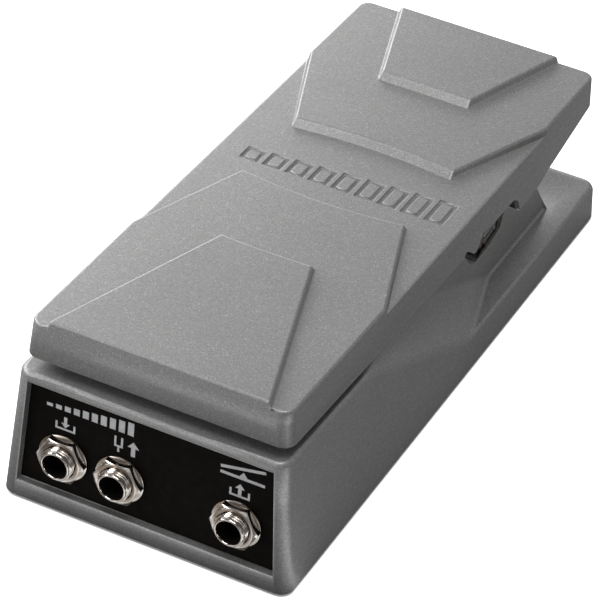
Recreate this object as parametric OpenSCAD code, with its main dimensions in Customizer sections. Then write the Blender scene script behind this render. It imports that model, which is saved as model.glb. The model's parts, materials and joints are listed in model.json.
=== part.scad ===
// Volume pedal: a rocking treadle on a cast base, geared to a potentiometer, with three jacks at the toe.
// X runs across the pedal, +Y from the toe to the heel, +Z up. The origin is the centre of the sole's underside.

/* [Base] */
// Width of the base at the floor
body_w = 87; // [84:0.5:92]
// Length of the base from the toe face to the heel face
body_l = 211; // [209:0.5:214]
// Height of the base's top face at the toe
toe_h = 43.1; // [42.6:0.1:43.6]
// Height of the heel platform
platform_h = 11.7; // [11.4:0.1:12.4]
// Radius of the base's upright corners
corner_r = 4; // [2:0.5:6]
// Thickness of the cast walls
wall = 3.2; // [2.8:0.1:3.4]
// Depth of the recess for the front label plate
panel_depth = 2.7; // [2.2:0.1:3.0]

/* [Sole and floor plate] */
// Thickness of the rubber sole
sole_t = 2.0; // [1.6:0.1:2.2]
// Height of the casting's rim above the floor
rim_z = 0.8; // [0.6:0.1:1.2]

/* [Treadle] */
// Half width of the treadle at its lower edge
treadle_half = 39.2; // [38:0.1:39.4]
// Length of the treadle
treadle_l = 204.5; // [200:0.5:206]
// Thickness of the treadle at the toe
treadle_t = 12.8; // [12:0.1:13.4]
// Height of each raised step on the treadle
step_h = 1.9; // [1.4:0.1:2.2]

/* [Pivot] */
// Diameter of the pivot axle
axle_d = 8; // [7:0.1:8.2]
// Radial clearance between the axle and what turns on it
run_gap = 0.05; // [0.03:0.01:0.08]

/* [Jacks] */
// Bore of each jack bushing for a quarter inch plug
jack_bore_d = 6.4; // [6.4:0.05:6.6]
// Outside diameter of each jack bushing
jack_thread_d = 9.4; // [9.2:0.1:9.6]
// Distance the bushings stand out of the toe face
jack_proud = 3.2; // [3:0.1:5]
// Height of the jacks above the floor
jack_z = 17.8; // [17.4:0.1:19]

/* [Drive] */
// Gear module of the sector and the pinion
gear_m = 1; // [1:1:1]
// Teeth on the pinion
pinion_teeth = 18; // [18:1:18]
// Teeth a full sector wheel would have
sector_teeth = 90; // [90:1:90]

/* [Hidden] */
$fn = 48;
// Draft of the side walls and of the heel face, as run over rise
side_draft = 0.084;
heel_draft = 0.073;
// Fall of the base's top face towards the heel
top_fall = 0.034;
plate_t = 1.6;
plate_top = sole_t + plate_t;
floor_inset = 2.3;
tall = 60;
half = body_w / 2;
// The tower that carries the pivot behind the slanted flanks
tower_half = 34.2;
tower_back = 189;
tower_rim = 21.7;
tray_z = 16;
// A slanted flank cuts each upper side of the base; its outward normal is given by two angles
flank_tilt = 56.8;
flank_turn = 14.5;
// Pivot axis, measured from the toe face
pivot_y = 150;
pivot_z = 25;
lug_in = 11;
lug_out = 19;
cheek_in = 20;
cheek_out = 25.5;
axle_end = 32.1;
axle_washer_t = 1.5;
// Treadle frame: its lower front edge and its slope in the toe-down pose
tread_y = 2.43;
tread_z = 46.72;
tread_tilt = -1.83;
tread_draft = 0.078;
skirt_t = 2.8;
pad_run = 0.8;
level_1 = treadle_t - step_h;
level_0 = treadle_t - 2 * step_h;
roof_under = level_0 - 3;
// Drive
pitch_pinion = gear_m * pinion_teeth / 2;
pitch_sector = gear_m * sector_teeth / 2;
pinion_y = pivot_y - pitch_pinion - pitch_sector;
pinion_z = pivot_z;
jack_xs = [-25.6, -8.4, 26.4];
// Inner face of the toe wall, and how far the bushings reach into the jack bodies
toe_in = 5.2;
bushing_in = toe_in + 2.5;
panel_low = 6;
panel_high = 40;
plate_screws = [[-36.5, 32], [36.5, 32], [-36.5, 106], [36.5, 106], [-35.5, 202], [35.5, 202]];
board_holes = [[-24, 40], [24, 40], [-24, 70], [24, 70]];
bracket_holes = [82, 110];
bumper_x = 24;
bumper_y = 14;
stop_x = 15;
stop_y = 173.4;

module set_down() translate([0, -body_l / 2, 0]) children();
module along_y(y0, y1) translate([0, y1, 0]) rotate([90, 0, 0]) linear_extrude(y1 - y0) children();
module along_x(x0, x1) translate([x0, 0, 0]) rotate([90, 0, 90]) linear_extrude(x1 - x0) children();
module both_sides() {
  children();
  mirror([1, 0, 0]) children();
}
module rod_x(x0, x1, y, z, r) translate([x0, y, z]) rotate([0, 90, 0]) cylinder(r = r, h = x1 - x0);
module rod_y(y0, y1, x, z, r) translate([x, y1, z]) rotate([90, 0, 0]) cylinder(r = r, h = y1 - y0);
module rod_z(z0, z1, x, y, r) translate([x, y, z0]) cylinder(r = r, h = z1 - z0);
module block(x0, x1, y0, y1, z0, z1) translate([x0, y0, z0]) cube([x1 - x0, y1 - y0, z1 - z0]);
module on_treadle() translate([0, tread_y, tread_z]) rotate([tread_tilt, 0, 0]) children();
module tube_x(x0, x1, y, z, r_out, r_in) difference() {
  rod_x(x0, x1, y, z, r_out);
  rod_x(x0 - 1, x1 + 1, y, z, r_in);
}

function top_at(y) = toe_h - top_fall * y;
function arc_points(cy, cz, r, a0, a1, n) =
  [for (i = [0:n]) [cy + r * cos(a0 + (a1 - a0) * i / n), cz + r * sin(a0 + (a1 - a0) * i / n)]];

// Base form ------------------------------------------------------------------------------------------
module wide_section(g) polygon([
  [-(half - g), 0],
  [half - g, 0],
  [half - g - side_draft * tall, tall],
  [-(half - g - side_draft * tall), tall]]);

module tower_section(g) {
  low = tower_half + side_draft * platform_h - g;
  polygon([[-low, 0], [low, 0], [low - side_draft * tall, tall], [-(low - side_draft * tall), tall]]);
}

module tall_profile() {
  fall_y = 123.8;
  fillet_r = 8;
  steep = 58;
  foot_y = 139.4;
  polygon(concat(
    [[0, 0], [0, toe_h], [fall_y, top_at(fall_y)]],
    arc_points(foot_y, tower_rim + fillet_r, fillet_r, 270 - steep, 270, 8),
    [[147, tower_rim], [153, 22.9], [156.3, 23.9], [157.4, 25.4], [157.5, 26.8]],
    arc_points(160.4, 25.6, 2.5, 145, 50, 4),
    [[169.8, tower_rim], [183.9, tower_rim], [tower_back, 12], [tower_back + 2.1, 8], [tower_back + 2.1, 0]]));
}

module cavity_profile() polygon([
  [toe_in, 0],
  [toe_in, top_at(toe_in) - wall],
  [120.6, top_at(120.6) - wall],
  [130, 20.8],
  [136, tray_z - 2.8],
  [184.6, tray_z - 2.8],
  [185.6, 0]]);

module beyond_flank(g) both_sides() translate([33.7, pivot_y, platform_h]) rotate([0, flank_tilt, flank_turn])
  translate([-300, -300, -g]) cube([600, 600, 200]);

module base_block(g) {
  intersection() {
    along_y(0, body_l) wide_section(g);
    along_x(-half, half) polygon([
      [g, 0],
      [body_l - g, 0],
      [body_l - g - heel_draft * platform_h, platform_h - g],
      [g, platform_h - g]]);
  }
}

module base_tall(g) {
  intersection() {
    along_x(-half, half) children();
    union() {
      difference() {
        along_y(0, body_l) wide_section(g);
        beyond_flank(g);
      }
      along_y(60, body_l) tower_section(g);
    }
  }
}

// Rounds one upright corner; the edge leans with the draft of the side wall
module corner_cut(far) both_sides() translate([half, far ? body_l : 0, 0]) rotate([0, -atan(side_draft), 0])
  mirror([0, far ? 1 : 0, 0]) difference() {
    translate([-corner_r, -5, -5]) cube([corner_r + 5, corner_r + 5, tall]);
    translate([-corner_r, corner_r, -6]) cylinder(r = corner_r, h = tall + 2);
  }

module base_outer() difference() {
  union() {
    base_block(0);
    base_tall(0) tall_profile();
  }
  corner_cut(false);
  intersection() {
    corner_cut(true);
    block(-half, half, body_l / 2, body_l + 5, -10, platform_h + 5);
  }
}

module base_hollow() {
  base_block(wall);
  base_tall(wall) cavity_profile();
}

module floor_slab(g, z0, z1) translate([0, 0, z0]) linear_extrude(z1 - z0) {
  x = half - floor_inset - g;
  y0 = floor_inset + g;
  y1 = body_l - floor_inset - g;
  r = 2;
  translate([-x, y0 + r]) square([2 * x, y1 - y0 - 2 * r]);
  translate([-x + r, y0]) square([2 * x - 2 * r, y1 - y0]);
  for (cx = [-x + r, x - r]) for (cy = [y0 + r, y1 - r]) translate([cx, cy]) circle(r = r);
}

module panel_shape(g) polygon([
  [-38.7 + g, panel_low + g],
  [38.7 - g, panel_low + g],
  [36.4 - g, panel_high - g],
  [-36.4 + g, panel_high - g]]);

module housing_bosses() intersection() {
  base_outer();
  union() {
    for (p = plate_screws) rod_z(plate_top, tall, p[0], p[1], 4.4);
    for (p = board_holes) rod_z(29.6, tall, p[0], p[1], 3.4);
    for (y = bracket_holes) rod_z(35.5, tall, 17.5, y, 3.4);
  }
}

module pivot_cheeks() both_sides() along_x(cheek_in, cheek_out) union() {
  polygon([[pivot_y - 14, tray_z - 2], [pivot_y + 14, tray_z - 2], [pivot_y + 7.2, pivot_z + 2],
    [pivot_y - 7.2, pivot_z + 2]]);
  translate([pivot_y, pivot_z]) circle(r = 7.5);
}

module base_housing() color("silver") set_down() difference() {
  union() {
    difference() {
      base_outer();
      base_hollow();
      block(-31.2, 31.2, 141, 181.4, tray_z, tall);
      block(-32.2, 32.2, 142, 181.4, tray_z + 1, tall);
    }
    housing_bosses();
    pivot_cheeks();
  }
  block(-half, half, -1, body_l + 1, -1, rim_z);
  floor_slab(-0.2, -0.5, plate_top);
  along_y(-1, panel_depth) panel_shape(0);
  for (x = jack_xs) rod_y(-1, toe_in + 1, x, jack_z, jack_thread_d / 2 + 0.1);
  block(-3.5, 3.5, 103.5, 123, 25, tall);
  rod_x(-cheek_out - 1, cheek_out + 1, pivot_y, pivot_z, axle_d / 2 + run_gap);
  for (p = plate_screws) rod_z(0, plate_top + 7, p[0], p[1], 1.52);
  for (p = board_holes) rod_z(28, 29.6 + 5.4, p[0], p[1], 1.27);
  for (y = bracket_holes) rod_z(34, 35.5 + 2.6, 17.5, y, 1.52);
  for (x = [-bumper_x, bumper_x]) rod_z(41.4, tall, x, bumper_y, 5.03);
}

// Floor ----------------------------------------------------------------------------------------------
module bottom_plate() color("dimgray") set_down() difference() {
  floor_slab(0, sole_t, plate_top);
  for (p = plate_screws) {
    rod_z(sole_t - 1, plate_top + 1, p[0], p[1], 1.6);
    translate([p[0], p[1], sole_t - 0.01]) cylinder(r1 = 2.95, r2 = 1.6, h = 1.35);
  }
}

module rubber_sole() color("black") set_down() difference() {
  floor_slab(0, 0, sole_t);
  for (p = plate_screws) rod_z(-1, sole_t + 1, p[0], p[1], 3.2);
}

module bottom_plate_screws() color("gray") set_down() for (p = plate_screws) difference() {
  union() {
    rod_z(sole_t, plate_top + 6.4, p[0], p[1], 1.5);
    translate([p[0], p[1], sole_t]) cylinder(r1 = 2.85, r2 = 1.5, h = 1.35);
  }
  translate([p[0], p[1], sole_t - 0.1]) cylinder(r = 1.1, h = 0.9, $fn = 6);
}

// Front panel and jacks ------------------------------------------------------------------------------
module label_plate() color("black") set_down() difference() {
  along_y(panel_depth - 0.6, panel_depth) panel_shape(0.3);
  for (x = jack_xs) rod_y(-1, 5, x, jack_z, jack_thread_d / 2 + 0.15);
}

module jack_body(x) color("dimgray") set_down() difference() {
  block(x - 8, x + 8, toe_in, toe_in + 22, jack_z - 7, jack_z + 7);
  block(x - 5.5, x + 5.5, bushing_in, toe_in + 20, jack_z - 5, jack_z + 5);
  block(x - 5.5, x + 5.5, bushing_in + 2, toe_in + 18, jack_z - 8, jack_z);
  rod_y(toe_in - 1, bushing_in + 1, x, jack_z, jack_thread_d / 2 + 0.02);
  for (z = [-4.4, 4.4]) block(x - 1.6, x + 1.6, toe_in + 16, toe_in + 23, jack_z + z - 0.25, jack_z + z + 0.25);
}

module input_jack_body() jack_body(jack_xs[0]);
module tuner_jack_body() jack_body(jack_xs[1]);
module output_jack_body() jack_body(jack_xs[2]);

module jack_bushings() color("silver") set_down() for (x = jack_xs) difference() {
  union() {
    rod_y(-jack_proud + 0.5, bushing_in, x, jack_z, jack_thread_d / 2);
    translate([x, -jack_proud, jack_z]) rotate([-90, 0, 0])
      cylinder(r1 = jack_thread_d / 2 - 0.5, r2 = jack_thread_d / 2, h = 0.5);
  }
  rod_y(-jack_proud - 1, bushing_in + 1, x, jack_z, jack_bore_d / 2);
  translate([x, -jack_proud - 0.01, jack_z]) rotate([-90, 0, 0])
    cylinder(r1 = jack_bore_d / 2 + 0.4, r2 = jack_bore_d / 2, h = 0.4);
}

module jack_contacts() color("goldenrod") set_down() for (x = jack_xs) for (z = [-4.4, 4.4])
  block(x - 1.5, x + 1.5, bushing_in + 2.5, toe_in + 26, jack_z + z - 0.2, jack_z + z + 0.2);

module jack_washers() color("silver") set_down() for (x = jack_xs) difference() {
  rod_y(panel_depth - 1.4, panel_depth - 0.6, x, jack_z, 7.3);
  rod_y(-1, 5, x, jack_z, jack_thread_d / 2 + 0.1);
}

module jack_nuts() color("silver") set_down() for (x = jack_xs) difference() {
  translate([x, panel_depth - 1.4, jack_z]) rotate([90, 0, 0]) cylinder(d = 12.7 / cos(30), h = 2.3, $fn = 6);
  rod_y(-5, 5, x, jack_z, jack_thread_d / 2 + 0.02);
}

// Treadle --------------------------------------------------------------------------------------------
module skirt_profile() polygon(concat(
  [[0, treadle_t], [0, -0.2], [109.6, -2.55]],
  arc_points(111.6, -2.5, 1.6, 150, 60, 3),
  arc_points(118.1, -1.7, 2.8, 215, 350, 7),
  [[121.5, -0.35], [131.5, -1.5]],
  arc_points(143.5, -7.4, 6, 90, 15, 6),
  [[149.6, -6.9], [163.4, -6.4], [171.3, -4.3], [treadle_l, 2.1], [treadle_l, treadle_t]]));

module treadle_section(g, low) polygon([
  [-(treadle_half - tread_draft * low - g), low],
  [treadle_half - tread_draft * low - g, low],
  [treadle_half - tread_draft * treadle_t - g, treadle_t],
  [-(treadle_half - tread_draft * treadle_t - g), treadle_t]]);

// Cuts away what lies outside one sloping side of a raised pad
module pad_side(x, s, turn, run, top) both_sides() translate([x, s, top]) rotate([0, 0, turn])
  rotate([0, atan(step_h / run), 0]) translate([0, -150, 0]) cube([120, 300, 40]);

// Sloping end of a pad, a very flat arc; centre at c, radius r at the pad's foot
module pad_end(c, r, run, top) translate([0, c, top - step_h])
  cylinder(r1 = r, r2 = r + run * 5 / step_h, h = 5, $fn = 240);

module raised_pad(s0, s1, top) difference() {
  block(-treadle_half, treadle_half, s0, s1, level_0 - 1, top);
  children();
}

module treadle_top() {
  raised_pad(0, 100, level_1) {
    pad_side(37.5, 59, 17.8, pad_run, level_1);
    pad_end(96.8 + 142, 142, 1.8, level_1);
  }
  raised_pad(0, 66, treadle_t) {
    pad_side(31.6, 2, 16.5, pad_run, treadle_t);
    pad_end(63.3 + 196, 196, 1.8, treadle_t);
  }
  raised_pad(127, treadle_l, level_1) {
    pad_side(25.4, 131.5, -19.5, pad_run, level_1);
    pad_end(130.5 - 156, 156, 2.2, level_1);
  }
  raised_pad(163, treadle_l, treadle_t) {
    pad_side(14.2, 166, -16.6, pad_run, treadle_t);
    pad_end(164.1 - 900, 900, 2.2, treadle_t);
  }
}

// A rising row of engraved bars that stands for volume
module level_bars() for (i = [0:8]) {
  x = -30.5 + 7.2 * i;
  low = 105.8;
  h = 6.4 + 0.66 * i;
  stroke = 1.3;
  difference() {
    block(x, x + 5.8, low, low + h, level_0 - 0.6, level_0 + 2);
    block(x + stroke, x + 5.8 - stroke, low + stroke, low + h - stroke, level_0 - 1, level_0 + 3);
  }
}

module pivot_lugs() both_sides() along_x(lug_in, lug_out) union() {
  polygon([[134, roof_under + 0.5], [140.7, -17], [155.7, -17], [167.5, -11.8], [174.1, -8], [182, roof_under + 0.5]]);
  translate([148.19, -16.99]) circle(r = 7.5);
  translate([170.19, -8.81]) circle(r = 4);
}

module treadle_ribs() {
  for (x = [-12, 12]) block(x - 1, x + 1, 2, 135, 2.4, roof_under + 0.5);
  for (s = [38, 82, 190]) block(-37.5, 37.5, s, s + 2, 2.4, roof_under + 0.5);
}

module treadle() color("silver") set_down() difference() {
  union() {
    on_treadle() {
      difference() {
        intersection() {
          along_x(-treadle_half - 1, treadle_half + 1) skirt_profile();
          along_y(-1, treadle_l + 1) treadle_section(0, -10);
          union() {
            block(-50, 50, -1, treadle_l + 1, -20, level_0);
            treadle_top();
          }
        }
        intersection() {
          along_y(3, treadle_l - 3) treadle_section(skirt_t, -12);
          block(-50, 50, 0, treadle_l, -12, roof_under);
        }
        level_bars();
      }
      treadle_ribs();
      pivot_lugs();
      block(1.5, 6, 105, 122, -1.8, roof_under + 0.5);
    }
    for (x = [-bumper_x, bumper_x]) rod_z(46.65, 54, x, bumper_y, 4);
  }
  rod_x(-lug_out - 1, lug_out + 1, pivot_y, pivot_z, axle_d / 2 + 1.5);
  on_treadle() for (s = [110, 117]) rod_x(0, 7, s, 1.6, 1.52);
}

// Pivot ----------------------------------------------------------------------------------------------
module pivot_bushes() color("darkgoldenrod") set_down()
  both_sides() tube_x(lug_in, lug_out, pivot_y, pivot_z, axle_d / 2 + 1.5, axle_d / 2 + run_gap);

module pivot_axle() color("lightgray") set_down() difference() {
  rod_x(-axle_end, axle_end, pivot_y, pivot_z, axle_d / 2);
  for (x = [-axle_end - 0.1, axle_end - 0.7]) block(x, x + 0.8, pivot_y - 5, pivot_y + 5, pivot_z - 0.5, pivot_z + 0.5);
}

module friction_washers() color("white") set_down()
  both_sides() tube_x(lug_out + 0.02, cheek_in - 0.02, pivot_y, pivot_z, 7, axle_d / 2 + run_gap);

module axle_washers() color("silver") set_down()
  both_sides() tube_x(cheek_out, cheek_out + axle_washer_t, pivot_y, pivot_z, 8, axle_d / 2 + run_gap);

module axle_nuts() color("silver") set_down() both_sides() difference() {
  translate([cheek_out + axle_washer_t, pivot_y, pivot_z]) rotate([0, 90, 0]) cylinder(d = 13 / cos(30), h = 5, $fn = 6);
  rod_x(cheek_out, axle_end + 1, pivot_y, pivot_z, axle_d / 2 + 0.02);
}

module toe_bumpers() color("black") set_down() for (x = [-bumper_x, bumper_x]) rod_z(41.4, 46.6, x, bumper_y, 5);

module heel_bumpers() color("black") set_down() for (x = [-stop_x, stop_x]) rod_z(tray_z, 22, x, stop_y, 4.5);

// Gears ----------------------------------------------------------------------------------------------
pressure = 20;
flank_play = 0.05;
flank_steps = 4;
function inv(a) = tan(a) * 180 / PI - a;
function base_r(n) = gear_m * n / 2 * cos(pressure);
function tooth_half(n, r) = 90 / n + inv(pressure) - inv(acos(min(1, base_r(n) / r))) - flank_play / r * 180 / PI;
function flank_r(n, i) = i == 0 ? gear_m * (n / 2 - 1.25)
  : max(base_r(n), gear_m * (n / 2 - 1)) + (gear_m * (n / 2 + 1) - max(base_r(n), gear_m * (n / 2 - 1)))
    * (i - 1) / (flank_steps - 1);
function on_circle(r, a) = [r * cos(a), r * sin(a)];
function tooth(n, c) = concat(
  [for (i = [0:flank_steps]) on_circle(flank_r(n, i), c - tooth_half(n, max(flank_r(n, i), base_r(n))))],
  [for (i = [flank_steps:-1:0]) on_circle(flank_r(n, i), c + tooth_half(n, max(flank_r(n, i), base_r(n))))]);

// Angles in the plane of the gears are measured from the heel direction, positive upwards
module sector_shape() {
  pitch = 360 / sector_teeth;
  intersection() {
    polygon(concat(
      [for (k = [-1:5]) for (p = tooth(sector_teeth, 180 + k * pitch)) p],
      [for (a = [204:-4:140]) on_circle(33, a)],
      [for (a = [140:4:168]) on_circle(43.6, a)]));
    translate([-60, -40]) square([60, 60.4]);
  }
}

module sector_gear() color("lightgray") set_down() difference() {
  along_x(-1.5, 1.48) translate([pivot_y, pivot_z]) sector_shape();
  on_treadle() for (s = [110, 117]) rod_x(-7, 7, s, 1.6, 1.6);
}

module sector_screws() color("gray") set_down() on_treadle() for (s = [110, 117]) {
  rod_x(-1.5, 5.4, s, 1.6, 1.5);
  rod_x(-3.4, -1.5, s, 1.6, 2.6);
}

module pinion_gear() color("ivory") set_down() difference() {
  union() {
    along_x(-2.5, 2.5) translate([pinion_y, pinion_z])
      polygon([for (k = [0:pinion_teeth - 1]) for (p = tooth(pinion_teeth, (k + 0.5) * 360 / pinion_teeth)) p]);
    rod_x(2.5, 7, pinion_y, pinion_z, 6);
  }
  rod_x(-5, 9, pinion_y, pinion_z, 3.02);
  rod_z(pinion_z - 8, pinion_z, 4.8, pinion_y, 1.27);
}

module pinion_set_screw() color("black") set_down() difference() {
  rod_z(pinion_z - 6, pinion_z - 3.1, 4.8, pinion_y, 1.25);
  translate([4.8, pinion_y, pinion_z - 6.1]) cylinder(r = 0.7, h = 1.1, $fn = 6);
}

// Potentiometer --------------------------------------------------------------------------------------
module potentiometer_shaft() color("lightgray") set_down() rod_x(-2.5, 18.8, pinion_y, pinion_z, 3);

module potentiometer_rotor() color("black") set_down() tube_x(17.2, 18.8, pinion_y, pinion_z, 6.4, 3.02);

module potentiometer_bushing() color("silver") set_down() difference() {
  union() {
    rod_x(8, 13.5, pinion_y, pinion_z, 4.5);
    rod_x(13.5, 15, pinion_y, pinion_z, 8.5);
  }
  rod_x(7, 16, pinion_y, pinion_z, 3 + run_gap);
}

module potentiometer_wafer() color("saddlebrown") set_down() difference() {
  union() {
    rod_x(15, 16.6, pinion_y, pinion_z, 8.5);
    block(15, 16.6, pinion_y - 6.6, pinion_y + 6.6, 12, pinion_z);
  }
  rod_x(14, 18, pinion_y, pinion_z, 3 + run_gap);
}

module potentiometer_can() color("silver") set_down() difference() {
  rod_x(16.6, 23, pinion_y, pinion_z, 8.5);
  rod_x(16, 22.4, pinion_y, pinion_z, 7.8);
}

module potentiometer_nut() color("silver") set_down() difference() {
  translate([9.8, pinion_y, pinion_z]) rotate([0, 90, 0]) cylinder(d = 12 / cos(30), h = 2.2, $fn = 6);
  rod_x(9, 13, pinion_y, pinion_z, 4.52);
}

module potentiometer_bracket() color("gray") set_down() difference() {
  union() {
    block(12, 13.5, pinion_y - 10, pinion_y + 10, 13.5, 35.5);
    block(12, 21, 78, 114, 34, 35.5);
  }
  rod_x(11, 15, pinion_y, pinion_z, 4.55);
  for (y = bracket_holes) rod_z(33, 37, 17.5, y, 1.6);
}

module bracket_screws() color("gray") set_down() for (y = bracket_holes) {
  rod_z(34, 37.8, 17.5, y, 1.5);
  rod_z(32, 34, 17.5, y, 2.7);
}

// Circuit board and wiring ---------------------------------------------------------------------------
module circuit_board() color("darkgreen") set_down() difference() {
  block(-29, 29, 36, 74, 28, 29.6);
  for (p = board_holes) rod_z(27, 31, p[0], p[1], 1.35);
}

module board_screws() color("gray") set_down() for (p = board_holes) {
  rod_z(28, 34.6, p[0], p[1], 1.25);
  rod_z(26.2, 28, p[0], p[1], 2.3);
}

wire_r = 0.7;
bend_r = 3;
module wire_connectors() color("ivory") set_down() {
  for (x = jack_xs) block(x > 0 ? x - 5 : x - 2, x > 0 ? x : x + 3, 46, 50, 23.5, 28);
  block(13, 18.6, 60, 68, 23.5, 28);
}

// One lead of the loom: back from the jack contact, round a bend and up into the connector
module jack_lead(x) {
  end_y = 48;
  low_z = jack_z - 4.4 + 0.2 + wire_r;
  rod_y(toe_in + 24, end_y - bend_r, x, low_z, wire_r);
  translate([x, end_y - bend_r, low_z + bend_r]) rotate([90, 0, 90]) rotate([0, 0, 270])
    rotate_extrude(angle = 90) translate([bend_r, 0]) circle(r = wire_r, $fn = 16);
  rod_z(low_z + bend_r, 23.5, x, end_y, wire_r);
}

module jack_wires() color("firebrick") set_down() for (x = jack_xs) jack_lead(x > 0 ? x - 1.4 - wire_r : x + 0.7);

// Three leads: down from the wafer, forward along the floor and up into the connector
module potentiometer_lead(i) {
  x = 15.8;
  y0 = pinion_y + 4.5 - 4.5 * i;
  y1 = 62 + 2 * i;
  z = 4.6 + 1.8 * i;
  rod_z(z + bend_r, 12, x, y0, wire_r);
  translate([x, y0 - bend_r, z + bend_r]) rotate([90, 0, 90]) rotate([0, 0, 270])
    rotate_extrude(angle = 90) translate([bend_r, 0]) circle(r = wire_r, $fn = 16);
  rod_y(y1 + bend_r, y0 - bend_r, x, z, wire_r);
  translate([x, y1 + bend_r, z + bend_r]) rotate([90, 0, 90]) rotate([0, 0, 180])
    rotate_extrude(angle = 90) translate([bend_r, 0]) circle(r = wire_r, $fn = 16);
  rod_z(z + bend_r, 23.5, x, y1, wire_r);
}

module potentiometer_wires() color("royalblue") set_down() for (i = [0:2]) potentiometer_lead(i);

base_housing();
bottom_plate();
rubber_sole();
bottom_plate_screws();
label_plate();
input_jack_body();
tuner_jack_body();
output_jack_body();
jack_bushings();
jack_contacts();
jack_washers();
jack_nuts();
treadle();
pivot_bushes();
pivot_axle();
friction_washers();
axle_washers();
axle_nuts();
toe_bumpers();
heel_bumpers();
sector_gear();
sector_screws();
pinion_gear();
pinion_set_screw();
potentiometer_shaft();
potentiometer_rotor();
potentiometer_bushing();
potentiometer_wafer();
potentiometer_can();
potentiometer_nut();
potentiometer_bracket();
bracket_screws();
circuit_board();
board_screws();
wire_connectors();
jack_wires();
potentiometer_wires();
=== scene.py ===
import json
import math

import bmesh
import bpy
from mathutils import Matrix, Vector
from mathutils.bvhtree import BVHTree

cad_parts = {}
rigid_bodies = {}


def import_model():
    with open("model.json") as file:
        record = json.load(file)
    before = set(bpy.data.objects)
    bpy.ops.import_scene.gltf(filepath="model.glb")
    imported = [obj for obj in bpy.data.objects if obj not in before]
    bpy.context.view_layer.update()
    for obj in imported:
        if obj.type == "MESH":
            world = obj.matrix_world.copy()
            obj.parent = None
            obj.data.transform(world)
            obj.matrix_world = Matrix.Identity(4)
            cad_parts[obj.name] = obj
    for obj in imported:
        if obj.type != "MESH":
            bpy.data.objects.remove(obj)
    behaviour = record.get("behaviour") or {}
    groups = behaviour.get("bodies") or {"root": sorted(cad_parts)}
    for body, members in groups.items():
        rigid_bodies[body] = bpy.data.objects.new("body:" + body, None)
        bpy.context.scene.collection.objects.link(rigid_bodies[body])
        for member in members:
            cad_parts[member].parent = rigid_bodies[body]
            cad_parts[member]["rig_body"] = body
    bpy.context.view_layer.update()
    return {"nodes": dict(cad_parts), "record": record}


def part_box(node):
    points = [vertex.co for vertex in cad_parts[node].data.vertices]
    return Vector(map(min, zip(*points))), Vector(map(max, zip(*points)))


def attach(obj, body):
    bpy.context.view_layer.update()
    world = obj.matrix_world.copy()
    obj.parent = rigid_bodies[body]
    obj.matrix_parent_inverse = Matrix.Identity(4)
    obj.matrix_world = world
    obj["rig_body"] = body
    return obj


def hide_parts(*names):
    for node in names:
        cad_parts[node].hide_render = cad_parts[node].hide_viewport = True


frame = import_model()
NODES = frame["nodes"]
MM = 0.001
scene = bpy.context.scene


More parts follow.
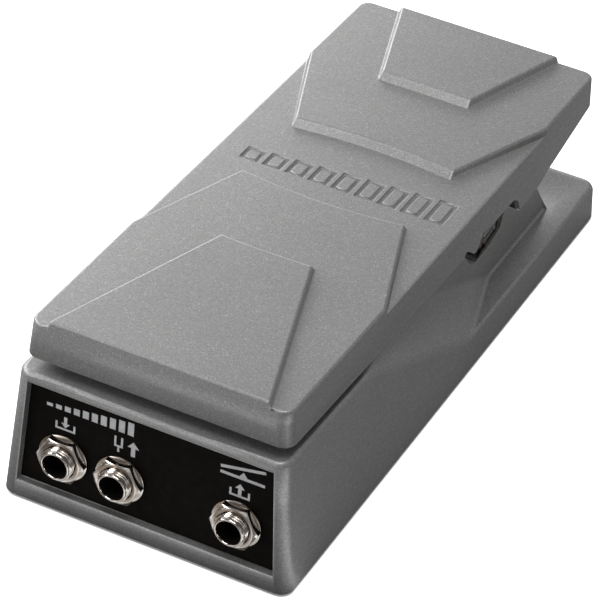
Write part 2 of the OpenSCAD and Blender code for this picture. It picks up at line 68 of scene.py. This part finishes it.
# ---------------------------------------------------------------- node material helpers
class Shader:
    """A small wrapper that keeps node set-up short."""

    def __init__(self, name):
        self.mat = bpy.data.materials.new(name)
        self.mat.use_nodes = True
        self.nt = self.mat.node_tree
        self.bsdf = self.nt.nodes["Principled BSDF"]
        self.coords = self.nt.nodes.new("ShaderNodeTexCoord").outputs["Object"]

    def link(self, a, b):
        self.nt.links.new(a, b)

    def put(self, socket, value):
        """Sets or links an input, given as a socket or by its name on the main shader."""
        target = self.bsdf.inputs[socket] if isinstance(socket, str) else socket
        if isinstance(value, (int, float)):
            target.default_value = value
        elif isinstance(value, tuple):
            target.default_value = (*value, 1) if len(value) == 3 else value
        else:
            self.link(value, target)

    def stretched(self, scale):
        node = self.nt.nodes.new("ShaderNodeMapping")
        node.inputs["Scale"].default_value = scale
        self.link(self.coords, node.inputs["Vector"])
        return node.outputs["Vector"]

    def noise(self, scale, detail=3, rough=0.5, vector=None):
        node = self.nt.nodes.new("ShaderNodeTexNoise")
        node.inputs["Scale"].default_value = scale
        node.inputs["Detail"].default_value = detail
        node.inputs["Roughness"].default_value = rough
        self.link(vector or self.coords, node.inputs["Vector"])
        return node.outputs["Fac"]

    def voronoi(self, scale, output="Color"):
        node = self.nt.nodes.new("ShaderNodeTexVoronoi")
        node.inputs["Scale"].default_value = scale
        self.link(self.coords, node.inputs["Vector"])
        return node.outputs[output]

    def span(self, value, a0, a1, b0, b1):
        """Maps a0..a1 to b0..b1 and clamps."""
        node = self.nt.nodes.new("ShaderNodeMapRange")
        for key, number in (("From Min", a0), ("From Max", a1), ("To Min", b0), ("To Max", b1)):
            node.inputs[key].default_value = number
        self.link(value, node.inputs["Value"])
        return node.outputs["Result"]

    def math(self, kind, a, b):
        node = self.nt.nodes.new("ShaderNodeMath")
        node.operation = kind
        self.put(node.inputs[0], a)
        self.put(node.inputs[1], b)
        return node.outputs[0]

    def blend(self, a, b, factor, kind="MIX"):
        node = self.nt.nodes.new("ShaderNodeMix")
        node.data_type = "RGBA"
        node.blend_type = kind
        self.put(node.inputs["Factor"], factor)
        self.put(node.inputs["A"], a)
        self.put(node.inputs["B"], b)
        return node.outputs["Result"]

    def edge_wear_and_highlight(self, radius):
        """One along outer edges, where a rounded normal leaves the true one and the mesh is pointed; the paint
        uses it for worn edges and for a painted highlight.
        """
        soft = self.nt.nodes.new("ShaderNodeBevel")
        soft.samples = 6
        soft.inputs["Radius"].default_value = radius
        geo = self.nt.nodes.new("ShaderNodeNewGeometry")
        dot = self.nt.nodes.new("ShaderNodeVectorMath")
        dot.operation = "DOT_PRODUCT"
        self.link(soft.outputs["Normal"], dot.inputs[0])
        self.link(geo.outputs["Normal"], dot.inputs[1])
        bent = self.span(dot.outputs["Value"], 0.995, 0.9, 0, 1)
        outer = self.span(geo.outputs["Pointiness"], 0.499, 0.505, 0, 1)
        return self.math("MULTIPLY", bent, outer)

    def bump(self, height, strength, distance, rounding=0.0):
        """Bump on the main shader, over normals that are rounded at the edges if rounding is given."""
        node = self.nt.nodes.new("ShaderNodeBump")
        node.inputs["Strength"].default_value = strength
        node.inputs["Distance"].default_value = distance
        self.link(height, node.inputs["Height"])
        if rounding:
            soft = self.nt.nodes.new("ShaderNodeBevel")
            soft.samples = 6
            soft.inputs["Radius"].default_value = rounding
            self.link(soft.outputs["Normal"], node.inputs["Normal"])
        self.put("Normal", node.outputs["Normal"])


PAINT_TONE = (0.30, 0.30, 0.298)
WORN_AND_HIGHLIGHT_TONE = (0.60, 0.60, 0.59)
WORN_AND_HIGHLIGHT_WIDTH = 0.6 * MM


def cast_paint():
    """Satin metallic grey paint: bright and dark flakes in a slightly uneven coat; outer edges lighter, partly
    as worn paint and partly as a painted highlight.
    """
    s = Shader("grey_metallic_paint")
    fleck = s.nt.nodes.new("ShaderNodeSeparateColor")
    s.link(s.voronoi(4300), fleck.inputs["Color"])
    speck = s.span(fleck.outputs["Red"], 0, 1, 0.80, 1.18)
    glint = s.span(fleck.outputs["Green"], 0.94, 0.99, 0, 0.7)
    cloud = s.span(s.noise(35, 2), 0.3, 0.7, 0.97, 1.03)
    tone = s.math("MULTIPLY", s.math("ADD", speck, glint), cloud)
    base = s.blend(PAINT_TONE, tone, 1.0, "MULTIPLY")
    patches = s.span(s.noise(240, 4), 0.35, 0.65, 0.35, 0.8)
    # Lighter outer edges: partly worn paint, partly a painted highlight on the crests, broken up in patches.
    worn_and_highlight = s.math("MULTIPLY", s.edge_wear_and_highlight(WORN_AND_HIGHLIGHT_WIDTH), patches)
    s.put("Base Color", s.blend(base, WORN_AND_HIGHLIGHT_TONE, worn_and_highlight))
    s.put("Metallic", 0.6)
    s.put("Roughness", s.span(s.noise(900, 3), 0.3, 0.7, 0.40, 0.52))
    s.put("Coat Weight", 0.35)
    s.put("Coat Roughness", 0.22)
    grain = s.noise(2200, 2)
    waves = s.math("MULTIPLY", s.noise(420, 3), 1.5)
    s.bump(s.math("ADD", grain, waves), 0.22, 0.06 * MM, 0.12 * MM)
    return s.mat


def soft_plastic(name, color, rough=0.55, grain=1600, shine=0.5):
    """Moulded plastic or matt print: a fine grain and a faint cloud in its colour."""
    s = Shader(name)
    s.put("Specular IOR Level", shine)
    lift = tuple(min(1, 1.25 * c + 0.001) for c in color)
    cloud = s.span(s.noise(grain / 8, 4), 0.35, 0.65, 0, 1)
    s.put("Base Color", s.blend(color, lift, cloud))
    s.put("Roughness", s.span(s.noise(grain / 3, 3), 0.3, 0.7, rough - 0.07, rough + 0.07))
    s.bump(s.noise(grain, 3), 0.25, 0.05 * MM)
    return s.mat


def metal(name, color, rough, grain=900, stretch=(1, 1, 1)):
    """Plain metal with tool marks, drawn out along an axis by stretch, and dull stains."""
    s = Shader(name)
    lines = s.noise(grain, 4, 0.6, s.stretched(stretch))
    stain = s.span(s.noise(160, 4), 0.4, 0.7, 0, 0.6)
    dark = tuple(0.75 * c for c in color)
    s.put("Base Color", s.blend(color, dark, stain))
    s.put("Metallic", 1)
    s.put("Roughness", s.span(lines, 0.3, 0.7, rough * 0.75, rough * 1.3))
    s.bump(lines, 0.12, 0.03 * MM, 0.2 * MM)
    return s.mat


def rubber(name):
    """Matt black rubber with grit and a little dust."""
    s = Shader(name)
    grit = s.noise(2600, 4)
    dust = s.span(s.noise(300, 4), 0.4, 0.7, 0, 1)
    s.put("Base Color", s.blend((0.012, 0.012, 0.012), (0.03, 0.03, 0.031), dust))
    s.put("Roughness", s.span(grit, 0.3, 0.7, 0.7, 0.9))
    s.bump(grit, 0.5, 0.1 * MM)
    return s.mat


def board():
    """Green solder mask with the tracks showing under it."""
    s = Shader("board_mask")
    cells = s.voronoi(420, "Distance")
    track = s.span(cells, 0.20, 0.24, 0, 1)
    s.put("Base Color", s.blend((0.02, 0.14, 0.06), (0.012, 0.09, 0.04), track))
    s.put("Roughness", s.span(s.noise(700, 2), 0.3, 0.7, 0.25, 0.4))
    s.bump(track, 0.2, 0.04 * MM)
    return s.mat


def polished_nickel(name, color, rough):
    """Polished plate with a painted reflection: its colour turns dark and light in bands by the direction it
    mirrors, with fine turning marks.
    """
    s = Shader(name)
    mirror = s.nt.nodes.new("ShaderNodeTexCoord").outputs["Reflection"]
    # Painted reflection: the colour swings between a dark brown and a bright tint by the direction the surface
    # mirrors.
    bands = s.noise(2.3, 2, 0.5, mirror)
    painted_reflection_mask = s.span(bands, 0.40, 0.60, 0, 1)
    bright = tuple(min(1, 1.2 * c) for c in color)
    tone = s.blend((0.20, 0.155, 0.12), bright, painted_reflection_mask)
    stain = s.span(s.noise(260, 3), 0.45, 0.75, 0, 0.25)
    s.put("Base Color", s.blend(tone, (0.42, 0.37, 0.32), stain))
    s.put("Metallic", 1)
    s.put("Roughness", s.span(s.noise(1400, 3), 0.3, 0.7, rough * 0.7, rough * 1.4))
    s.bump(s.noise(900, 2, 0.5, s.stretched((1, 3, 1))), 0.05, 0.03 * MM)
    return s.mat


MATS = {
    "cast_grey": cast_paint(),
    "label_black": soft_plastic("label_matt_black", (0.0032, 0.0026, 0.0021), 0.6, 2400, 0.04),
    "rubber_black": rubber("rubber_matt"),
    "plate_steel": metal("plate_steel_satin", (0.36, 0.36, 0.37), 0.38, 500, (1, 12, 1)),
    "screw_zinc": metal("screw_zinc_satin", (0.58, 0.57, 0.54), 0.3, 1500),
    "nickel": polished_nickel("nickel_polished", (0.80, 0.775, 0.74), 0.13),
    "jack_plastic": soft_plastic("jack_nylon_black", (0.02, 0.02, 0.022), 0.5),
    "contact_brass": metal("contact_brass", (0.72, 0.52, 0.24), 0.25, 900, (1, 10, 1)),
    "bush_bronze": metal("bush_bronze", (0.55, 0.36, 0.17), 0.4, 1300),
    "axle_steel": metal("axle_steel_turned", (0.56, 0.56, 0.57), 0.22, 900, (20, 1, 1)),
    "nylon_white": soft_plastic("nylon_white", (0.75, 0.73, 0.68), 0.5),
    "gear_steel": metal("gear_steel", (0.45, 0.45, 0.46), 0.32, 1100),
    "gear_nylon": soft_plastic("gear_nylon_ivory", (0.72, 0.68, 0.56), 0.45),
    "screw_black": metal("screw_black_oxide", (0.05, 0.05, 0.052), 0.35, 1500),
    "pot_zinc": metal("pot_zinc_plated", (0.6, 0.59, 0.56), 0.3, 1100, (1, 1, 6)),
    "pot_wafer_brown": soft_plastic("pot_wafer_brown", (0.2, 0.1, 0.045), 0.6, 900),
    "board_green": board(),
    "wire_red": soft_plastic("wire_red", (0.45, 0.03, 0.02), 0.4),
    "wire_blue": soft_plastic("wire_blue", (0.03, 0.08, 0.42), 0.4),
}


# ---------------------------------------------------------------- mesh helpers
def add_piece(name, me, body, slot, replaced=()):
    """Makes a piece of the mesh, rides it on the body and lets it stand for the replaced nodes."""
    obj = bpy.data.objects.new(name, me)
    scene.collection.objects.link(obj)
    me.materials.clear()
    me.materials.append(MATS[slot])
    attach(obj, body)
    if replaced:
        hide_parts(*replaced)
    return obj


def round_uprights(bm, corners):
    """Rounds the upright edges beyond far_x on both sides, from from_y to to_y; all in millimetres."""
    for far_x, from_y, to_y, radius in corners:
        edges = []
        for e in bm.edges:
            mid = (e.verts[0].co + e.verts[1].co) / 2 / MM
            rise = abs(e.verts[0].co.z - e.verts[1].co.z) / MM
            in_corner = abs(mid.x) > far_x and from_y < mid.y < to_y
            if in_corner and rise > 5 and len(e.link_faces) == 2:
                edges.append(e)
        bmesh.ops.bevel(bm, geom=edges, offset=radius * MM, offset_type="OFFSET", segments=7, profile=0.5,
                        affect="EDGES", clamp_overlap=False)
        bm.normal_update()


def rounded_casting(name, node, widest, pick, corners=()):
    """The CAD casting with rounded edges.

    pick gives each edge's radius in millimetres from its length, its middle and the angle it turns through;
    widest is the largest of them. The corners are upright edges that are rounded first.
    """
    src = NODES[node]
    me = bpy.data.meshes.new(name)
    bm = bmesh.new()
    bm.from_mesh(src.data)
    bmesh.ops.remove_doubles(bm, verts=bm.verts, dist=0.002 * MM)
    bmesh.ops.dissolve_limit(bm, angle_limit=math.radians(0.4), verts=bm.verts, edges=bm.edges)
    bm.normal_update()
    round_uprights(bm, corners)
    tree = BVHTree.FromBMesh(bm)
    weight = bm.edges.layers.float.new("bevel_weight_edge")
    for e in bm.edges:
        if len(e.link_faces) != 2:
            continue
        turn = math.degrees(e.calc_face_angle_signed(0))
        if abs(turn) < 16:
            continue
        out = (e.link_faces[0].normal + e.link_faces[1].normal).normalized()
        mid = (e.verts[0].co + e.verts[1].co) / 2
        hidden = tree.ray_cast(mid + out * 0.03 * MM, out)[0] is not None
        if out.z < -0.35 or hidden:
            continue
        e[weight] = pick(e.calc_length() / MM, mid / MM, turn) / widest
    for f in bm.faces:
        f.smooth = True
    bm.to_mesh(me)
    bm.free()
    obj = add_piece(name, me, src["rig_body"], "cast_grey", (node,))
    mod = obj.modifiers.new("rounding", "BEVEL")
    mod.limit_method = "WEIGHT"
    mod.width = widest * MM
    mod.segments = 5
    mod.use_clamp_overlap = False
    mod.harden_normals = False
    mod = obj.modifiers.new("shading", "WEIGHTED_NORMAL")
    mod.keep_sharp = True


BASE_BROAD = 1.6
TREADLE_RIM = 0.8


def base_radius(length, mid, turn):
    """Radius of one edge of the base, by the zone that its middle lies in."""
    x, y, z = abs(mid.x), mid.y, mid.z
    convex = turn > 0
    middle_slot = x < 4 and z > 24
    pivot_cheek = 19.8 < x < 25.1 and 33 < y < 58 and z > 15.5
    recess_rim = y < -104 and z < 41 and x < 39
    tower_corner = 30 < x < 34 and 20 < z < 29 and y > 33
    foot = z < 8
    toe_corner = z > 41 and y < -100 and x > 30
    toe_top = z > 42 and y < -104
    heel_corner = 11 < z < 12.5 and y > 100 and x > 38
    tray_floor = x < 31.5 and z < 17
    tray_wall = 34 < y < 84 and x <= 31.3
    if middle_slot:
        return 0
    if pivot_cheek:
        return 0.3 if convex else 0
    if recess_rim:
        return 0.6 if x < 30 else 0.12
    if tower_corner:
        return 0.35
    if foot:
        return 0
    if toe_corner or toe_top or heel_corner:
        return BASE_BROAD
    if length < 10 or tray_floor:
        return 0
    if tray_wall:
        return 0.6
    if convex:
        return BASE_BROAD if z > 25 else 0.8
    return 0.9


def treadle_radius(length, mid, turn):
    """Radius of one edge of the treadle, by the zone that its middle lies in."""
    x, y, z = abs(mid.x), mid.y, mid.z
    convex = turn > 0
    pad_edge = z > 49.5 and x < 38 and -101 < y < 100 and 18 < abs(turn) < 75
    engraving = z > 50.5 and x < 36 and 0 < y < 16
    toe_top = y < -98 and z > 55
    heel_top = y > 96.5 and z > 48.5
    side_edge = x > 37.5 and length > 10
    skirt = z < 50 and x > 38 and length > 0.4
    if pad_edge:
        return 0.55 if convex else 0.3
    if engraving:
        return 0.2 if turn > 80 else 0
    if not convex:
        return 0.35 if length > 20 else 0
    if toe_top or heel_top or side_edge:
        return TREADLE_RIM
    if skirt:
        return 0
    return 0.4 if length > 20 else 0


TREADLE_CORNERS = (
    (37.5, -106, -101, 4),
    (37.5, 99, 104, 3.6),
)
rounded_casting("base_casting", "base_housing", 1.8, base_radius)
rounded_casting("treadle_casting", "treadle", 1.0, treadle_radius, TREADLE_CORNERS)


# ---------------------------------------------------------------- turned and hexagonal metal parts
JACK_NUT_FLATS = 12.7
JACK_NUT_BORE = 4.72
JACK_WASHER_OUTER = 7.3
JACK_WASHER_BORE = 4.8
BUSHING_OUTER = 4.7
BUSHING_BORE = 3.2
BUSHING_THREAD_END = 3.4
AXLE_NUT_FLATS = 13
AXLE_NUT_BORE = 4.02


def ringed(bm, origin, axis, loops):
    """A closed solid from one loop per angle; a loop lists (radius, distance along the axis) in mm."""
    side = Vector((1, 0, 0)) if abs(axis.x) < 0.5 else Vector((0, 1, 0))
    upward = Vector((0, 0, 1))
    count = len(loops)
    grid = []
    for i, loop in enumerate(loops):
        a = 2 * math.pi * i / count
        spoke = side * math.cos(a) + upward * math.sin(a)
        grid.append([bm.verts.new(origin + (spoke * r + axis * h) * MM) for r, h in loop])
    for i in range(count):
        a, b = grid[i], grid[(i + 1) % count]
        for j in range(len(a)):
            k = (j + 1) % len(a)
            bm.faces.new((a[j], a[k], b[k], b[j]))


def finish_mesh(name, bm):
    """Turns the bmesh into a smooth shaded mesh that stays sharp over 32 degrees."""
    sharp = math.radians(32)
    bmesh.ops.recalc_face_normals(bm, faces=bm.faces)
    for f in bm.faces:
        f.smooth = True
    for e in bm.edges:
        if len(e.link_faces) == 2 and e.calc_face_angle(0) > sharp:
            e.smooth = False
    me = bpy.data.meshes.new(name)
    bm.to_mesh(me)
    bm.free()
    return me


def hex_radius(flats, deg):
    """Distance from the centre of a hexagon to its outline, in the direction deg."""
    return flats / 2 / math.cos(math.radians(deg % 60 - 30))


def nut_loops(flats, bore, thick, steps=72):
    """A hexagon nut whose front corners are turned down at 28 degrees; bore is a radius."""
    face = flats / 2 * 0.955
    slope = math.tan(math.radians(28))
    loops = []
    for i in range(steps):
        r = hex_radius(flats, 360 * i / steps)
        drop = (r - face) * slope
        loops.append([(bore, thick), (bore, 0.4), (bore + 0.4, 0), (face - 0.2, 0), (face, 0.03),
                      (r - 0.06, drop), (r, drop + 0.08), (r, thick - 0.12), (r - 0.12, thick)])
    return loops


def washer_loops(outer, bore, thick, steps=72):
    """A round washer with rounded rims; outer and bore are radii."""
    c = 0.14
    loop = [(bore, thick - c), (bore, c), (bore + c, 0), (outer - 1.6 * c, 0), (outer - 0.4 * c, 0.4 * c),
            (outer, 1.6 * c), (outer, thick - c), (outer - c, thick), (bore + c, thick)]
    return [loop] * steps


def bushing_loops(outer, bore, length, thread_end, steps=96):
    """A jack bushing: a rounded mouth, then thread rings up to thread_end, then a plain shank."""
    pitch = 0.78
    crest = 0.24
    groove = outer - 0.38
    loop = [(bore, length), (bore, 1.4), (bore + 0.4, 0.55), (bore + 0.47, 0.22), (bore + 0.56, 0.06),
            (bore + 0.7, 0), (outer - 0.7, 0), (outer - 0.5, 0.06), (outer - 0.38, 0.22), (outer - 0.35, 0.5)]
    h = 0.62
    while h + pitch < thread_end:
        loop += [(outer, h), (outer, h + crest), (groove, h + (crest + pitch) / 2)]
        h += pitch
    loop += [(outer, h), (outer, h + crest), (outer - 0.2, thread_end + 0.1), (outer - 0.2, length)]
    return [loop] * steps


def centre_xz(node_box):
    low, high = node_box
    return (low[0] + high[0]) / 2, (low[2] + high[2]) / 2


def darken_bores(obj, centres, radius):
    """The walls of each bore take the dark label plastic, as painted shade inside the hole."""
    obj.data.materials.append(MATS["label_black"])
    for poly in obj.data.polygons:
        corners = [obj.data.vertices[i].co for i in poly.vertices]
        if all(min(math.hypot(c.x - x, c.z - z) for x, z in centres) < radius for c in corners):
            poly.material_index = 1


def build_jack_fronts():
    """Bushings, nuts and washers of the three jacks, in line with the jack bodies."""
    bush_low, bush_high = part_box("jack_bushings")
    nut_low, nut_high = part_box("jack_nuts")
    wash_low, wash_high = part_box("jack_washers")
    centres = [centre_xz(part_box(body)) for body in ("input_jack_body", "tuner_jack_body", "output_jack_body")]
    back = Vector((0, 1, 0))
    bush_length = (bush_high[1] - bush_low[1]) / MM
    bushing = bushing_loops(BUSHING_OUTER, BUSHING_BORE, bush_length, BUSHING_THREAD_END)
    nut = nut_loops(JACK_NUT_FLATS, JACK_NUT_BORE, (nut_high[1] - nut_low[1]) / MM)
    washer = washer_loops(JACK_WASHER_OUTER, JACK_WASHER_BORE, (wash_high[1] - wash_low[1]) / MM)
    kinds = (
        ("jack_bushings_threaded", "jack_bushings", bush_low[1], bushing),
        ("jack_nuts_chamfered", "jack_nuts", nut_low[1], nut),
        ("jack_washers_rounded", "jack_washers", wash_low[1], washer),
    )
    for name, node, front, loops in kinds:
        bm = bmesh.new()
        for x, z in centres:
            ringed(bm, Vector((x, front, z)), back, loops)
        obj = add_piece(name, finish_mesh(name, bm), "base", "nickel", (node,))
        # The bore walls of the bushings are painted dark as shade in the holes.
        if node == "jack_bushings":
            darken_bores(obj, centres, (BUSHING_BORE + 0.44) * MM)


def build_axle_nuts():
    """The two nuts at the ends of the pivot axle, against their washers."""
    low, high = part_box("axle_nuts")
    y, z = (low[1] + high[1]) / 2, (low[2] + high[2]) / 2
    wash_low, wash_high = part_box("axle_washers")
    thick = (high[0] - wash_high[0]) / MM
    loops = nut_loops(AXLE_NUT_FLATS, AXLE_NUT_BORE, thick)
    bm = bmesh.new()
    for side in (1, -1):
        ringed(bm, Vector((side * high[0], y, z)), Vector((-side, 0, 0)), loops)
    name = "axle_nuts_chamfered"
    add_piece(name, finish_mesh(name, bm), "base", "nickel", ("axle_nuts",))


build_jack_fronts()
build_axle_nuts()


# ---------------------------------------------------------------- generic marks on the front plate
MARK_RISE = 0.05 * MM
MARK_ROOT = 0.02 * MM


def bar(x0, x1, z0, z1):
    """An upright rectangle."""
    return [(x0, z0), (x1, z0), (x1, z1), (x0, z1)]


def arrow_down(x, z, size):
    """An arrow that points down at (x, z)."""
    w = size * 0.36
    t = size * 0.13
    neck = z + w * 1.15
    return [[(x, z), (x + w, neck), (x - w, neck)], bar(x - t, x + t, neck, z + size)]


def turned_over(shapes, z):
    """The shapes mirrored in the level line z."""
    return [[(x, 2 * z - v) for x, v in reversed(shape)] for shape in shapes]


def bracket(x0, x1, z, tall, t):
    """A floor with a wall at each end, t thick."""
    return [bar(x0, x1, z, z + t), bar(x0, x0 + t, z + t, z + tall), bar(x1 - t, x1, z + t, z + tall)]


def plate_marks():
    """Outlines of all the marks in x and z, in millimetres."""
    shapes = []
    # a rising row of bars at the upper left
    pitch = 2.7
    growth = 0.36
    for i in range(10):
        x = -31.4 + pitch * i
        shapes.append(bar(x, x + 1.8, 33.0, 34.0 + growth * i))
    # in: an arrow that drops between two walls
    shapes += arrow_down(-25.6, 27.4, 3.6) + bracket(-28.6, -22.6, 26.6, 2.4, 0.6)
    # out to a tuner: a fork with its stem, beside a rising arrow
    shapes += [bar(-10.9, -10.3, 28.4, 31.2), bar(-8.9, -8.3, 28.4, 31.2), bar(-10.9, -8.3, 27.8, 28.4),
               bar(-9.9, -9.3, 26.2, 27.8)]
    shapes += turned_over(arrow_down(-5.2, 26.3, 4.8), 28.7)
    # a slanted treadle over its base at the upper right
    shapes += [[(20.3, 34.9), (20.5, 34.0), (33.5, 36.6), (33.3, 37.5)], bar(20.4, 33.4, 32.2, 33.1),
               [(25.9, 33.1), (28.3, 33.1), (27.1, 34.7)]]
    # out: an arrow that rises from between two walls
    shapes += turned_over(arrow_down(26.4, 26.6, 3.9), 28.6) + bracket(23.4, 29.4, 26.2, 2.4, 0.6)
    return shapes


def build_marks():
    """Thin raised shapes whose roots lie just inside the face of the front plate."""
    plate_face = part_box("label_plate")[0][1]
    front = plate_face - MARK_RISE
    behind = plate_face + MARK_ROOT
    bm = bmesh.new()
    for shape in plate_marks():
        near = [bm.verts.new((x * MM, front, z * MM)) for x, z in shape]
        far = [bm.verts.new((x * MM, behind, z * MM)) for x, z in shape]
        bm.faces.new(near)
        bm.faces.new(list(reversed(far)))
        for i in range(len(shape)):
            k = (i + 1) % len(shape)
            bm.faces.new((near[k], near[i], far[i], far[k]))
    name = "front_plate_marks"
    obj = add_piece(name, finish_mesh(name, bm), "base", "nylon_white")
    obj.data.materials.clear()
    obj.data.materials.append(soft_plastic("print_light_grey", (0.40, 0.40, 0.41), 0.5, 2600))


build_marks()

SLOT_OF = {row["node"]: row["material_slot"] for row in frame["record"]["subparts"]}
for node_name, node_object in NODES.items():
    node_object.data.materials.clear()
    node_object.data.materials.append(MATS[SLOT_OF[node_name]])

# ---------------------------------------------------------------- stage and light
scene.view_settings.view_transform = "Standard"
ROOM_GLOW = 0.42
FLOOR_SEEN = 0.97
FLOOR_BOUNCE = 0.31
FLOOR_GLOW = 0.75
CONTACT_SHADOW = 2 * MM


def backdrop():
    """A room that is white to the camera and dimmer to the object."""
    world = bpy.data.worlds.new("studio")
    scene.world = world
    world.use_nodes = True
    nt = world.node_tree
    seen = nt.nodes["Background"]
    seen.inputs["Color"].default_value = (1, 1, 1, 1)
    lit = nt.nodes.new("ShaderNodeBackground")
    lit.inputs["Strength"].default_value = ROOM_GLOW
    path = nt.nodes.new("ShaderNodeLightPath")
    mix = nt.nodes.new("ShaderNodeMixShader")
    nt.links.new(path.outputs["Is Camera Ray"], mix.inputs["Fac"])
    nt.links.new(lit.outputs["Background"], mix.inputs[1])
    nt.links.new(seen.outputs["Background"], mix.inputs[2])
    nt.links.new(mix.outputs["Shader"], nt.nodes["World Output"].inputs["Surface"])


def studio_floor():
    """A pale floor that looks nearly white, throws less light back and has a painted contact shadow right
    beside the base.
    """
    me = bpy.data.meshes.new("floor")
    bm = bmesh.new()
    bmesh.ops.create_grid(bm, x_segments=1, y_segments=1, size=3)
    bm.to_mesh(me)
    bm.free()
    floor = bpy.data.objects.new("floor", me)
    scene.collection.objects.link(floor)
    floor.location.z = -0.2 * MM
    s = Shader("floor_pale")
    path = s.nt.nodes.new("ShaderNodeLightPath")
    tint = s.span(s.noise(3, 2), 0.3, 0.7, 0.98, 1.0)
    seen = s.blend((FLOOR_SEEN, FLOOR_SEEN, FLOOR_SEEN), tint, 1.0, "MULTIPLY")
    bounce = (FLOOR_BOUNCE, FLOOR_BOUNCE, FLOOR_BOUNCE)
    s.put("Base Color", s.blend(bounce, seen, path.outputs["Is Camera Ray"]))
    s.put("Roughness", 0.9)
    s.put("Emission Color", (1, 1, 1))
    # Near the base the glow is cut by ambient occlusion: a painted contact shadow.
    contact = s.nt.nodes.new("ShaderNodeAmbientOcclusion")
    contact.inputs["Distance"].default_value = CONTACT_SHADOW
    open_sky = s.span(contact.outputs["AO"], 0.45, 0.65, 0.05, 1)
    glow = s.math("MULTIPLY", path.outputs["Is Camera Ray"], FLOOR_GLOW)
    s.put("Emission Strength", s.math("MULTIPLY", glow, open_sky))
    me.materials.append(s.mat)


def area_light(name, toward, distance, size, power, aim):
    """A rectangular lamp that lies at distance from aim, in the direction toward, and shines on aim."""
    data = bpy.data.lights.new(name, "AREA")
    data.shape = "RECTANGLE"
    data.size, data.size_y = size
    data.energy = power
    obj = bpy.data.objects.new(name, data)
    scene.collection.objects.link(obj)
    direction = Vector(toward).normalized()
    obj.location = Vector(aim) + direction * distance
    obj.rotation_euler = direction.to_track_quat("Z", "Y").to_euler()
    return obj


def floor_card(name, centre, size, power):
    """A lamp just above the floor that brightens one patch of it, as a white card lying there would."""
    obj = area_light(name, (0, 0, 1), 0.6 * MM, size, power, (*centre, 0))
    obj.visible_camera = False


backdrop()
studio_floor()
MIDDLE = (0, -0.01, 0.03)
area_light("overhead", (0.05, -0.1, 1), 1.6, (1.0, 1.0), 11.6, MIDDLE)
area_light("front_fill", (-0.1, -0.95, 0.4), 1.8, (1.4, 0.9), 1.1, MIDDLE)
area_light("left_strip", (-0.9, 0.0, 0.4), 0.24, (1.1, 0.1), 1.55, (0, -0.01, 0.05))
floor_card("toe_floor", (-0.004, -0.129), (0.074, 0.034), 0.0165)
floor_card("corner_floor", (0.098, -0.114), (0.106, 0.036), 0.042)
area_light("heel_card", (-0.42, 0.9, 0.13), 0.9, (0.6, 0.12), 0.6, (0, 0, 0.05))


# ---------------------------------------------------------------- camera
CAMERA_AT = (0.325534, -0.76787, 0.617916)
CAMERA_YAW = -23.3755
CAMERA_PITCH = 35.8675
CAMERA_ROLL = 5.3096
CAMERA_LENS = 216.09


def place_camera():
    """A long lens that looks down on the toe from the right; roll turns it about its own axis."""
    yaw, pitch, roll = (math.radians(deg) for deg in (CAMERA_YAW, CAMERA_PITCH, CAMERA_ROLL))
    forward = Vector((math.sin(yaw) * math.cos(pitch), math.cos(yaw) * math.cos(pitch), -math.sin(pitch)))
    level = Vector((math.cos(yaw), -math.sin(yaw), 0))
    rise = level.cross(forward)
    right = math.cos(roll) * level + math.sin(roll) * rise
    up = -math.sin(roll) * level + math.cos(roll) * rise
    data = bpy.data.cameras.new("camera")
    data.lens = CAMERA_LENS
    data.sensor_width = 36
    cam = bpy.data.objects.new("camera", data)
    scene.collection.objects.link(cam)
    turn = Matrix((right, up, -forward)).transposed()
    cam.matrix_world = Matrix.Translation(CAMERA_AT) @ turn.to_4x4()
    scene.camera = cam


place_camera()
